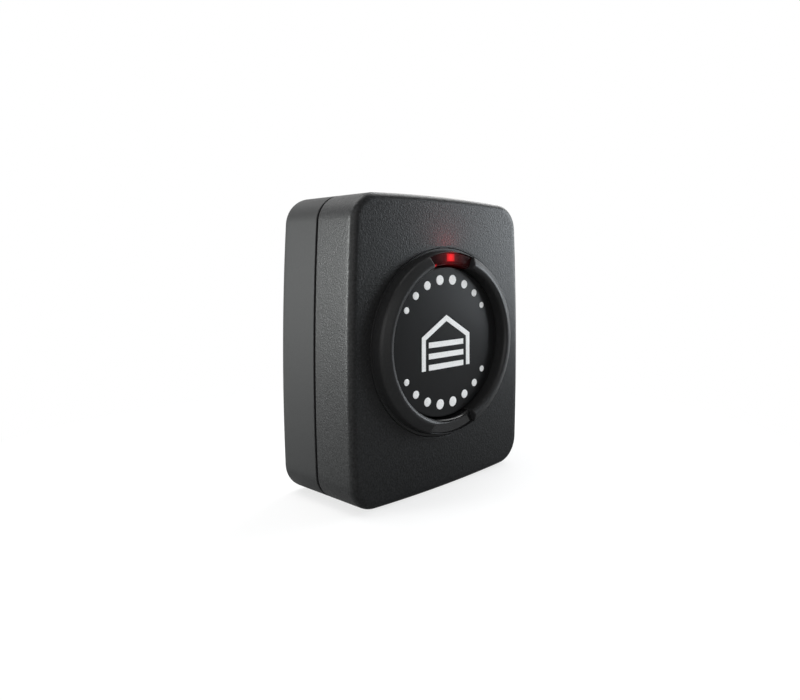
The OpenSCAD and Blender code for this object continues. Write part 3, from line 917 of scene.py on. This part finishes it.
@dataclass
class GuardRing:
    """Raised ring round the button, with a notch for a window at the top and at the bottom."""

    depth: float
    bore_r: float = 15.05
    body_r: float = 18.35
    foot_r: float = 17.9
    shoulder_r: float = 17.65
    shoulder_round: float = 0.9
    cone_deg: float = 28.0
    crest_h: float = 2.8
    inner_round: float = 0.85
    ridge_steps: int = 8
    flange_r: float = 19.8
    flange_front: float = 19.8
    flange_round: float = 0.1
    ledge_round: float = 0.06
    rear: float = 18.6
    notch_out_r: float = 17.5
    notch_half_deg: float = 20.0
    end_round: float = 0.2
    end_fade_slope: float = 0.5
    end_fade_rear: tuple[float, float] = (0.8, 1.8)
    lip_round: float = 0.35
    lip_steps: int = 4
    slope_steps: int = 20
    sector_steps: int = 96
    notch_steps: int = 28
    merge: float = 0.002

    def ridge(self) -> Array:
        """Section from the foot over the shoulder, up the cone, round the inner edge, down the bore and out.

        The cone would meet the bore at a height H. An edge of radius e there has its top at
        H - e (tan b + 1 / cos b - 1), with b the cone's angle, and H puts that top at the crest's height.

        Returns:
            The section as (radius, depth), which ends at the rear behind the notch's wall.
        """
        lean = math.radians(self.cone_deg)
        peak = self.crest_h + self.inner_round * (math.tan(lean) + 1 / math.cos(lean) - 1)
        shoulder_h = peak - (self.shoulder_r - self.bore_r) * math.tan(lean)
        return rounded_path(
            [[self.foot_r, self.depth], [self.shoulder_r, self.depth + shoulder_h],
             [self.bore_r, self.depth + peak], [self.bore_r, self.rear], [self.notch_out_r, self.rear]],
            [self.shoulder_round, self.inner_round, self.flange_round],
            self.ridge_steps,
        )

    def parted(self) -> tuple[Array, Array]:
        """The ridge cut at the radius of the notch's wall.

        Returns:
            The section from the cut down to the foot, and the section from the rear up to the cut.
        """
        ridge = self.ridge()
        past = int(np.argmin(ridge[:, 0] > self.notch_out_r))
        (r0, _), (r1, _) = last, following = ridge[past - 1:past + 1]
        cut = last + (following - last) * (r0 - self.notch_out_r) / (r0 - r1)
        return np.vstack([cut, ridge[past - 1::-1]]), np.vstack([ridge[:past - 1:-1], cut])

    def slope(self, steps: int, start: float = 0.0, end: float = math.inf) -> Array:
        """Evenly spaced points of the outer slope.

        Args:
            steps: number of points.
            start: length in mm below the cut at which they start.
            end: length at which they end, or past the foot to end there.

        Returns:
            The points as (radius, depth).
        """
        down = self.parted()[0]
        length = np.concatenate([[0], np.cumsum(np.linalg.norm(np.diff(down, axis=0), axis=1))])
        along = np.linspace(start, min(end, length[-1]), steps)
        return np.stack([np.interp(along, length, down[:, 0]), np.interp(along, length, down[:, 1])], axis=-1)

    def wall_path(self) -> Array:
        """Section of the notch's outer wall, from the rear up over its rounded lip to the slope.

        The lip is the curve (1-t)^2 A + 2t(1-t) B + t^2 C, with A on the wall, C on the slope and B the
        corner between them.

        Returns:
            The section as (radius, depth).
        """
        corner, on_slope = self.slope(2, 0, self.lip_round)
        on_wall = corner - [0, self.lip_round]
        share = np.linspace(0, 1, 7)[:, None]
        lip = (1 - share) ** 2 * on_wall + 2 * share * (1 - share) * corner + share**2 * on_slope
        return np.vstack([np.linspace([self.notch_out_r, self.rear], on_wall, 5)[:-1], lip])

    def outer_path(self) -> Array:
        """Section outside the notch: slope, ledge, body and flange.

        Returns:
            The section as (radius, depth), whose first lip_steps points are the stretch that the lip rounds.
        """
        behind = rounded_path(
            [[self.foot_r, self.depth], [self.body_r, self.depth], [self.body_r, self.flange_front],
             [self.flange_r, self.flange_front], [self.flange_r, self.rear], [self.notch_out_r, self.rear]],
            [self.ledge_round, self.ledge_round, self.flange_round, self.flange_round],
            steps=3,
        )
        upper = self.slope(self.lip_steps, 0, self.lip_round)
        return np.vstack([upper[:-1], self.slope(self.slope_steps, self.lip_round), behind[1:]])

    def inner_path(self) -> Array:
        """Section inside the notch's outer wall: rear, bore, rounded inner edge and cone."""
        return self.parted()[1]

    def rounded_end(self, path: Array) -> tuple[Array, Array]:
        """Section drawn in towards the end of a sector, so that its end has a soft edge.

        A quarter circle moves each ring on by e sin t and draws it in along its normal by e (1 - cos t), with
        e the rounding. The draw fades to nothing at the slope that is shared with the notch and at the rear.

        Args:
            path: the section as (radius, depth).

        Returns:
            The drawn-in sections as rows x points x 2, and how far each lies along the ring in mm.
        """
        tangent = unit(np.gradient(path, axis=0))
        inward = np.stack([tangent[:, 1], -tangent[:, 0]], axis=-1)
        near_slope = np.clip((self.notch_out_r - path[:, 0]) / self.end_fade_slope, 0, 1)
        near_rear = np.interp(path[:, 1] - self.rear, self.end_fade_rear, [0, 1])
        weight = (near_slope * near_rear)[:, None]
        turn = np.linspace(0, np.pi / 2, 5)[:, None, None]
        drawn = path + self.end_round * (1 - np.cos(turn)) * weight * inward
        return drawn, (self.end_round * np.sin(turn)).ravel()

    def surface(self) -> Surface:
        """Sweeps the outer section all round, the inner one along both sectors and the notch walls between.

        Returns:
            The closed surface, once its shared points are merged.
        """
        half = math.radians(self.notch_half_deg)
        surface = Surface()
        outer, inner, wall = self.outer_path(), self.inner_path(), self.wall_path()
        step = np.vstack([outer[1:self.lip_steps - 1], wall[:0:-1]])
        for middle in (0.0, np.pi):
            even = np.linspace(middle - np.pi / 2 + half, middle + np.pi / 2 - half, self.sector_steps + 1)
            notch = np.linspace(even[-1], even[-1] + 2 * half, self.notch_steps + 1)
            surface.grid(swept(wall, notch), wrap_columns=False)
            sector = self.add_sector(surface, inner, step, even)
            for path, angles in ((outer, sector), (outer[self.lip_steps - 1:], notch)):
                surface.grid(swept(path, angles), wrap_columns=False)
        return surface

    def add_sector(self, surface: Surface, inner: Array, step: Array, even: Array) -> Array:
        """Adds the inner section along one sector, with a soft edge and a flat face at both ends.

        Args:
            surface: surface to add to.
            inner: section inside the notch's wall.
            step: section from the slope over the lip and down the notch's wall, without its two ends.
            even: evenly spaced angles along the sector.

        Returns:
            The angles of the columns, closer together at both ends.
        """
        apart = 1e-4
        drawn, along = self.rounded_end(inner)
        left = (along[-1] - along) / self.bore_r
        start, end = even[0] + left, even[-1] - left
        middle = even[(even > start[0] + apart) & (even < end[0] - apart)]
        sections = np.concatenate([drawn[::-1], np.repeat(inner[None], len(middle), axis=0), drawn])
        angles = np.concatenate([start[::-1], middle, end])
        rings = polar_rings(angles[:, None], sections[..., 0], sections[..., 1])
        surface.grid(rings.transpose(1, 0, 2), wrap_columns=False)
        for ring, angle, order in ((rings[0], angles[0], -1), (rings[-1], angles[-1], 1)):
            edge = swept(step, np.array([angle]))[:, 0]
            surface.faces.append(surface.add(np.vstack([ring, edge]))[::order].tolist())
        return angles

    def build(self) -> None:
        """Builds and dresses the ring."""
        satin = MouldedPlastic("ring_satin", (0.016, 0.0162, 0.0166), roughness=0.4, gloss=0.2,
                               grain_mm=0.3, relief_mm=0.004, speckle=0.1)
        piece = self.surface().build("guard_ring_moulding", self.merge)
        put(piece, satin, Body.FRONT, "ring_plastic", "guard_ring")


@dataclass
class PushButton:
    """Round button with its skirt, stop lugs, switch post and printed dots.

    The dome is a dot's section from its middle to its root, as shares of the dot's radius and the ink's
    thickness.
    """

    face: float
    radius: float = 14.65
    edge_r: float = 0.25
    plate_t: float = 1.8
    skirt_t: float = 1.4
    skirt_low: float = 17.25
    low_round: float = 0.15
    skirt_root_round: float = 0.4
    lug_top: float = 18.55
    lug_out_r: float = 16.95
    lug_half_deg: float = 30.0
    lug_sunk: float = 0.3
    lug_round: float = 0.1
    post_r: float = 1.6
    post_low: float = 17.75
    post_root_round: float = 0.3
    pole_r: tuple[float, float] = (0.5, 0.4)
    dot_circle_r: float = 12.2
    dot_pitch_deg: float = 16.3
    dot_diameters: tuple[float, ...] = (1.95, 1.7, 1.5, 1.25)
    dome: tuple[tuple[float, float], ...] = (
        (0.35, 1.0), (0.8, 0.96), (0.95, 0.75), (1.0, 0.3), (1.0, -0.4), (0.4, -0.4))
    ink_t: float = 0.05

    @classmethod
    def from_frame(cls) -> "PushButton":
        """Takes the height of the button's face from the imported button."""
        return cls(face=-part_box("button_disc")[0].y / MM)

    def cap_surface(self) -> Surface:
        """Button: a lathe form of plate, skirt and post, with a stop lug at both sides.

        Returns:
            The closed surface.
        """
        under = self.face - self.plate_t
        inside = self.radius - self.skirt_t
        path = rounded_path(
            [[self.pole_r[0], self.face], [self.radius, self.face], [self.radius, self.skirt_low],
             [inside, self.skirt_low], [inside, under], [self.post_r, under], [self.post_r, self.post_low],
             [self.pole_r[1], self.post_low]],
            [self.edge_r, self.low_round, self.low_round, self.skirt_root_round, self.post_root_round,
             self.low_round],
            steps=6,
        )
        surface = Surface()
        surface.turned(path, full_circle(192))
        half = math.radians(self.lug_half_deg)
        root = inside + self.lug_sunk
        lug = rounded_path(
            [[root, self.lug_top], [self.lug_out_r, self.lug_top], [self.lug_out_r, self.skirt_low],
             [root, self.skirt_low]],
            [self.lug_round, self.low_round, self.low_round, self.lug_round],
            steps=3,
            closed=True,
        )
        for middle in (0.0, np.pi):
            rings = swept(lug, np.linspace(middle - half, middle + half, 40))
            number = surface.grid(rings, wrap_rows=True, wrap_columns=False)
            surface.faces += [number[::-1, 0].tolist(), number[:, -1].tolist()]
        return surface

    def dot_surface(self) -> Surface:
        """Two arcs of ink dots, largest at the top and bottom: each is a low dome with a rounded rim.

        Returns:
            The surface, closed dot by dot.
        """
        count = len(self.dot_diameters)
        place = np.arange(2 * count) - count + 0.5
        size = np.array(self.dot_diameters)[np.floor(np.abs(place)).astype(int)] / 2
        turn = np.radians(place * self.dot_pitch_deg)
        surface = Surface()
        for upward in (self.dot_circle_r, -self.dot_circle_r):
            for r, a in zip(size, turn):
                path = np.array([0, self.face]) + np.array(self.dome) * [r, self.ink_t]
                surface.turned(path, full_circle(36), (-upward * math.sin(a), upward * math.cos(a)))
        return surface

    def build(self) -> None:
        """Builds and dresses the button and its print."""
        satin = MouldedPlastic("button_satin", (0.008, 0.0082, 0.0085), roughness=0.29, gloss=0.18,
                               grain_mm=0.3, relief_mm=0.002, speckle=0.08)
        ink = PrintedInk("white_print", (0.84, 0.84, 0.83))
        put(self.cap_surface().build("button_cap"), satin, Body.BUTTON, "button_plastic", "button_disc")
        put(self.dot_surface().build("dot_print"), ink, Body.BUTTON, "white_ink", "printed_dots")
        dress("door_icon", ink)


@dataclass
class LightWindows:
    """Dark windows in the ring's notches, the upper one round the tip of the light pipe."""

    depth: float
    face_h: float = 1.4
    bevel: float = 0.45
    bevel_fade: float = 0.9
    in_r: float = 15.1
    out_r: float = 17.45
    half_deg: float = 19.81
    foot_h: float = 0.6
    flange_in_r: float = 15.08
    flange_r: float = 18.4
    flange_front: float = 18.6
    flange_rear: float = 17.8
    flange_half_deg: float = 23.4
    edge_r: float = 0.1
    pipe_r: float = 16.5
    pipe_size: tuple[float, float] = (2.05, 1.5)
    pipe_gap: float = 0.05
    pipe_glow_half: float = 0.8
    pole_share: float = 0.2
    # Offsets of the painted glint, a red reflection painted into the upper window.
    painted_glint_in: Place = (5.0, 0.2, 0.3)
    glow_off: tuple[float, float] = (1.2, 0.6)
    long_steps: int = 40
    short_steps: int = 10

    @property
    def face(self) -> float:
        """Depth of the windows' faces and of the light pipe's tip."""
        return self.depth + self.face_h

    def once_round(self) -> tuple[Array, Array]:
        """Steps against the clock round a four-sided outline from its lower right corner.

        Returns:
            How far each step lies to the left, -1 to 1, and how far up, 0 to 1.
        """
        sideways = np.linspace(-1, 1, self.long_steps, endpoint=False)
        upwards = np.linspace(0, 1, self.short_steps, endpoint=False)
        across = np.concatenate([0 * upwards - 1, sideways, 0 * upwards + 1, -sideways])
        rise = np.concatenate([upwards, 0 * sideways + 1, 1 - upwards, 0 * sideways])
        return across, rise

    def sector(self, inset: Array, low_r: float, high_r: float, half_deg: float) -> Array:
        """Closed outline of a ring sector about straight up, moved inwards by inset.

        Args:
            inset: inward offsets, rows x 1.
            low_r: inner radius.
            high_r: outer radius.
            half_deg: half angle in degrees.

        Returns:
            Flat points as rows x points x 2.
        """
        across, rise = self.once_round()
        radius = low_r + inset + rise * (high_r - low_r - 2 * inset)
        angle = np.pi / 2 + across * (math.radians(half_deg) - inset / radius)
        return np.stack([radius * np.cos(angle), radius * np.sin(angle)], axis=-1)

    def pipe_hole(self) -> Array:
        """Rectangle round the light pipe's tip, with its clearance.

        Returns:
            Flat points, one row each.
        """
        across, rise = self.once_round()
        width, height = (size + 2 * self.pipe_gap for size in self.pipe_size)
        return np.stack([-across * width / 2, self.pipe_r + (rise - 0.5) * height], axis=-1)

    def surface(self, with_hole: bool) -> Surface:
        """A window: loops run from its middle over the face, down the bevelled edge and back on the flange.

        Args:
            with_hole: whether the middle is a hole for the light pipe, or is closed.

        Returns:
            The closed surface of the upper window.
        """
        rise = self.once_round()[1]
        level = np.ones_like(rise)
        turn = np.linspace(0, np.pi / 2, 5)[:, None]
        rim = self.sector(self.edge_r * (1 - np.sin(turn)), self.in_r + self.bevel, self.out_r, self.half_deg)
        rim_depth = self.face - self.edge_r * (1 - np.cos(turn)) * level
        wall = self.sector(np.zeros((3, 1)), self.in_r, self.out_r, self.half_deg)
        foot = np.array([[self.flange_front + self.foot_h], [self.flange_front]]) * level
        bevel_low = self.face - self.edge_r - self.bevel * (1 - self.bevel_fade * rise)
        flange = self.sector(np.zeros((2, 1)), self.flange_in_r, self.flange_r, self.flange_half_deg)
        flange_depth = np.array([[self.flange_front], [self.flange_rear]]) * level
        share = np.linspace(0, 1, 6)[:-1, None, None]
        hole = self.pipe_hole()
        middle = np.array([0, self.pipe_r])
        start = hole if with_hole else middle + (hole - middle) * self.pole_share
        face = (1 - share) * start + share * rim[0]
        flat = np.concatenate([face, rim, wall, flange])
        face_depth = np.full(face.shape[:2], self.face)
        depth = np.vstack([face_depth, rim_depth, bevel_low, foot, flange_depth])
        points = np.concatenate([flat, depth[..., None]], axis=-1)
        surface = Surface()
        if with_hole:
            behind = np.concatenate([start, np.full((len(start), 1), self.flange_rear)], axis=-1)
            surface.grid(np.concatenate([points, behind[None]]), wrap_rows=True)
        else:
            surface.capped(points, [*middle, self.face], [*middle, self.flange_rear])
        return surface

    def build(self) -> None:
        """Builds and dresses both windows and the light pipe.

        The painted glint, a red reflection painted into the upper window, lies near its left lower corner,
        moved in by the degrees, the mm up and the mm back of its three offsets.
        """
        slot = "window_plastic"
        tip = (0.0, -self.face, self.pipe_r)
        turn_in, up_in, back_in = self.painted_glint_in
        end = math.radians(90 + self.half_deg - turn_in)
        low_r = self.in_r + up_in
        painted_glint = (low_r * math.cos(end), back_in - self.face, low_r * math.sin(end))
        # The upper window's material carries the painted red glow and the painted glint.
        painted_glow_window = TintedWindow("window_painted_glow", (0.006, 0.005, 0.0055), gloss=0.1, painted_glow_at=tip, painted_glint_at=painted_glint)
        dark = TintedWindow("window_dark", (0.009, 0.009, 0.0095), gloss=0.55)
        put(self.surface(True).build("upper_window_lens"), painted_glow_window, Body.FRONT, slot, "upper_window")
        below = self.surface(False)
        below.points = [points * [-1, -1, 1] for points in below.points]
        put(below.build("lower_window_lens"), dark, Body.FRONT, slot, "lower_window")
        dress("light_pipe", LitRed("red_light", (0.1, 0.003, 0.004), tip, self.pipe_glow_half))
        forward, up = self.glow_off
        GlowLamp("light_glow", (0.0, -self.face - forward, self.pipe_r + up)).build()


@dataclass
class Electronics:
    """Board, battery and parts inside the case, shown as packed."""

    def build(self) -> None:
        """Dresses every inner node."""
        black = MouldedPlastic("black_moulding", (0.012, 0.012, 0.012), roughness=0.5, gloss=0.4,
                               grain_mm=0.2, relief_mm=0.005, speckle=0.2)
        grey = MouldedPlastic("grey_moulding", (0.3, 0.3, 0.29), roughness=0.45, gloss=0.4,
                              grain_mm=0.2, relief_mm=0.004, speckle=0.1)
        resin = MouldedPlastic("chip_resin", (0.015, 0.015, 0.016), roughness=0.6, gloss=0.4,
                               grain_mm=0.1, relief_mm=0.004, speckle=0.25)
        mask = SolderMask("solder_mask", (0.008, 0.07, 0.028))
        lens = MouldedPlastic("led_resin", (0.85, 0.8, 0.6), roughness=0.25, gloss=0.5,
                              grain_mm=0.3, relief_mm=0.002, speckle=0.05)
        fired = MouldedPlastic("fired_ceramic", (0.42, 0.28, 0.15), roughness=0.5, gloss=0.4,
                               grain_mm=0.15, relief_mm=0.003, speckle=0.15)
        sleeve = MouldedPlastic("capacitor_sleeve", (0.1, 0.105, 0.12), roughness=0.35, gloss=0.5,
                                grain_mm=0.4, relief_mm=0.002, speckle=0.1)
        steel = PlatedMetal("plated_steel", (0.6, 0.6, 0.61), roughness=0.28)
        cell = PlatedMetal("cell_steel", (0.62, 0.63, 0.65), roughness=0.24)
        brass = PlatedMetal("bright_brass", (0.66, 0.53, 0.27), roughness=0.26)
        polished = PlatedMetal("polished_ball", (0.7, 0.7, 0.72), roughness=0.14, stretch=(1, 1, 1))
        finishes = {
            "circuit_board": mask, "board_screws": steel, "battery_holder": black, "coin_cell": cell,
            "positive_clip": brass, "negative_contact": brass, "tact_switch_body": black,
            "tact_plunger": grey, "switch_terminals": steel, "led": lens, "tilt_can": brass,
            "tilt_header": black, "tilt_pins": steel, "tilt_ball": polished, "tilt_cradle": black,
            "radio_chip": resin, "shield_can": steel, "crystal": steel, "antenna": brass,
            "chip_capacitors": fired, "chip_resistors": resin, "bulk_capacitor": sleeve,
        }
        for node, finish in finishes.items():
            dress(node, finish)


def hang_lamp(name: str, shape: LampShape, size: float, power: float, colour: Colour,
              place: Vector, back: Vector) -> bpy.types.Object:
    """Adds an area lamp that the camera doesn't see.

    Args:
        name: name of the lamp.
        shape: its outline.
        size: its width in metres.
        power: its power in watts.
        colour: tint of its light.
        place: where it hangs, in metres.
        back: direction from what it lights to the lamp.

    Returns:
        The lamp's object.
    """
    lamp = bpy.data.lights.new(name, "AREA")
    lamp.shape, lamp.size, lamp.energy, lamp.color = shape.value, size, power, colour
    hung = placed(name, lamp)
    hung.location = place
    hung.rotation_euler = back.to_track_quat("Z", "Y").to_euler()
    hung.visible_camera = False
    return hung


@dataclass(frozen=True)
class Softbox:
    """A square soft lamp that looks at the object, at a distance in metres."""

    name: str
    azimuth_deg: float
    elevation_deg: float
    distance: float
    size: float
    power: float
    colour: Colour = (1, 1, 1)

    def build(self) -> None:
        """Adds the lamp."""
        a, e = math.radians(self.azimuth_deg), math.radians(self.elevation_deg)
        toward = Vector((math.sin(a) * math.cos(e), -math.cos(a) * math.cos(e), math.sin(e)))
        place = toward * self.distance
        hang_lamp(self.name, LampShape.SQUARE, self.size, self.power, self.colour, place, toward)


@dataclass(frozen=True)
class GlowLamp:
    """Small red lamp at the light pipe's tip, turned up and forward, which tints the face above the ring."""

    name: str
    place_mm: Place
    aim: Place = (0.0, -0.3, 0.95)
    size_mm: float = 1.2
    power: float = 0.0025
    colour: Colour = (1.0, 0.03, 0.04)

    def build(self) -> None:
        """Adds the lamp to the front body, unseen in reflections."""
        place, back, size = Vector(self.place_mm) * MM, -Vector(self.aim), self.size_mm * MM
        lamp_object = hang_lamp(self.name, LampShape.DISC, size, self.power, self.colour, place, back)
        lamp_object.visible_glossy = False
        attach(lamp_object, Body.FRONT.value)


@dataclass(frozen=True)
class PhotoCamera:
    """Camera of the photograph: place in mm, turn in degrees, and lens in pixels of an 800 x 700 picture."""

    place_mm: Place = (-89.905, -113.716, 15.132)
    azimuth_deg: float = -51.07
    pitch_deg: float = -0.71
    roll_deg: float = -0.19
    focal_px: float = 646.27
    middle_px: tuple[float, float] = (520.93, 256.2)
    picture_px: tuple[float, float] = (800.0, 700.0)
    sensor_mm: float = 36.0
    clip_m: tuple[float, float] = (0.005, 50.0)

    def build(self) -> None:
        """Adds the camera: its axes are right, up and backwards, and a shift puts its axis at middle_px."""
        a, e, r = (math.radians(d) for d in (self.azimuth_deg, self.pitch_deg, self.roll_deg))
        forward = Vector((-math.sin(a) * math.cos(e), math.cos(a) * math.cos(e), -math.sin(e)))
        level = Vector((math.cos(a), math.sin(a), 0))
        rise = level.cross(forward)
        right = math.cos(r) * level + math.sin(r) * rise
        up = -math.sin(r) * level + math.cos(r) * rise
        lens = bpy.data.cameras.new("photo_camera")
        lens.sensor_fit, lens.sensor_width = "HORIZONTAL", self.sensor_mm
        width, height = self.picture_px
        lens.lens = self.focal_px * self.sensor_mm / width
        lens.shift_x = 0.5 - self.middle_px[0] / width
        lens.shift_y = (self.middle_px[1] - height / 2) / width
        lens.clip_start, lens.clip_end = self.clip_m
        camera = placed("photo_camera", lens)
        turn = Matrix((right, up, -forward)).transposed().to_4x4()
        camera.matrix_world = Matrix.Translation(Vector(self.place_mm) * MM) @ turn
        bpy.context.scene.camera = camera


@dataclass
class Studio:
    """Plain pale floor, white surroundings and soft lamps. Reaches and sizes are in metres."""

    ambient: float = 0.2
    world_behind: tuple[float, float] = (-0.1, 0.3)
    floor_half: float = 4.0
    floor_tone: float = 0.8
    floor_bounce: float = 0.25
    floor_behind: tuple[float, float] = (-0.03, 0.1)
    shadow: float = 0.3
    shadow_reach: tuple[float, float] = (0.03, 0.1)
    lamps: tuple[Softbox, ...] = (
        Softbox("left_softbox", -121, 3.5, 0.4, size=0.13, power=2.08, colour=(0.965, 1.0, 0.985)),
        Softbox("right_softbox", 60, 11, 0.2, size=0.1, power=0.34, colour=(0.93, 0.99, 1.04)),
        Softbox("left_fill", -65, 4, 0.5, size=0.5, power=1.3),
        Softbox("front_fill", -30, 10, 0.5, size=0.45, power=0.7),
        Softbox("rim_softbox", 102, 44, 0.4, size=0.3, power=1.4),
        Softbox("top_softbox", -135, 66, 0.4, size=0.3, power=1.5),
    )

    def build_world(self) -> None:
        """White to the camera, white behind the object in reflections, and a low even light otherwise."""
        world = bpy.data.worlds.new("studio")
        bpy.context.scene.world = world
        graph = Graph(world)
        share = graph.seen(1.0, graph.behind(*self.world_behind))
        strength = graph.spread(share, self.ambient, 1.0, 0.0, 1.0)
        white = graph.add("ShaderNodeBackground", {"Color": (1, 1, 1, 1), "Strength": strength})
        graph.close(white, "ShaderNodeOutputWorld")

    def build_floor(self) -> None:
        """A wide pale floor under the case, white to the camera except for the shadow near the case."""
        h, z = self.floor_half, CAD_BOX[0].z
        mesh = bpy.data.meshes.new("floor")
        mesh.from_pydata([(-h, -h, z), (h, -h, z), (h, h, z), (-h, h, z)], [], [(0, 1, 2, 3)])
        graph = Graph.named("pale_floor")
        path = graph.add("ShaderNodeLightPath").outputs
        tone = graph.spread(path["Is Camera Ray"], self.floor_bounce, self.floor_tone, 0.0, 1.0)
        matt = graph.add("ShaderNodeBsdfDiffuse", {"Color": tone})
        white = graph.add("ShaderNodeEmission", {"Color": (1, 1, 1, 1), "Strength": 1.0})
        away = graph.distance((0, 0, z / MM))
        by_camera = graph.spread(away, 1 - self.shadow, 1.0, *self.shadow_reach)
        share = graph.seen(by_camera, graph.behind(*self.floor_behind))
        graph.close(graph.add("ShaderNodeMixShader", {0: share, 1: matt.outputs[0], 2: white.outputs[0]}))
        mesh.materials.append(graph.owner)
        floor = placed("floor", mesh)

    def build(self) -> None:
        """Sets the view, and builds the world, the floor, the lamps and the camera."""
        bpy.context.scene.view_settings.view_transform = "Standard"
        self.build_world()
        self.build_floor()
        for lamp in self.lamps:
            lamp.build()
        PhotoCamera().build()


def main() -> None:
    """Builds the sub-assemblies in order."""
    logging.basicConfig(level=logging.INFO, format="%(name)s: %(message)s")
    plan = CasePlan.from_frame()
    shells = CaseShells.from_frame(plan)
    shells.build()
    GuardRing(depth=shells.depth).build()
    PushButton.from_frame().build()
    LightWindows(depth=shells.depth).build()
    Electronics().build()
    Studio().build()


if __name__ == "__main__":
    main()
